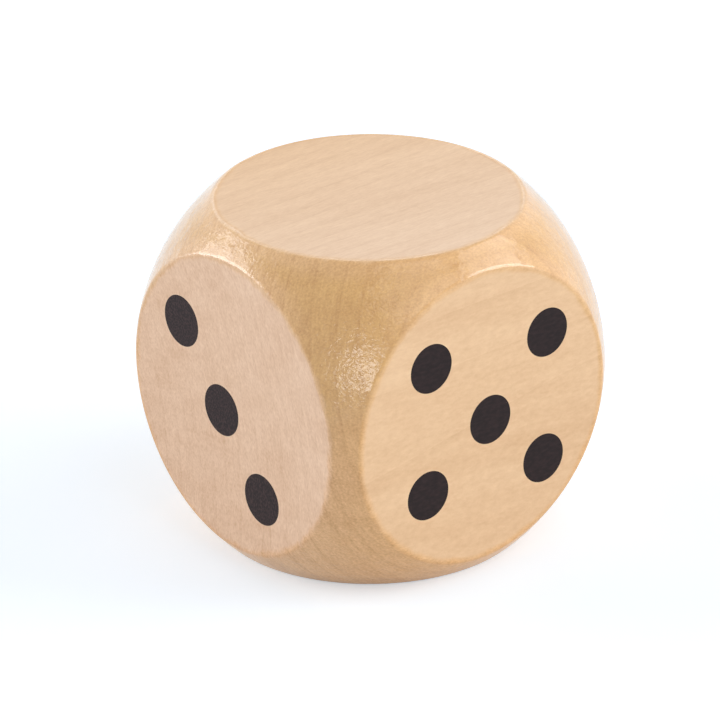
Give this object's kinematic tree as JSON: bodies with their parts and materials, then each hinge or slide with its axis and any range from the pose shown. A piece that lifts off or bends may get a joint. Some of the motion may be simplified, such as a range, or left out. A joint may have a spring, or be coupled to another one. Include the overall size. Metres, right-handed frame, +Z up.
{
  "type": "wooden die",
  "caption": "Wooden die: a pale hardwood cube turned back to a lacquered ball at its edges and corners, with sanded round flats, printed black pips and a blank top.",
  "frame": {"origin": "middle of the round flat that the die rests on, so the die's centre is half a side above it", "axes": "+Z up through the blank flat; -Y out of the five, -X out of the three, +X out of the four, +Y out of the two and -Z out of the six. The wood's fibres run along X."},
  "size_m": [0.03, 0.03, 0.03],
  "materials": {
    "wood": "satin",
    "ink": "matte"
  },
  "bodies": {
    "root": {"die_body": "wood", "two_pips": "ink", "three_pips": "ink", "four_pips": "ink", "five_pips": "ink", "six_pips": "ink"}
  },
  "joints": []
}
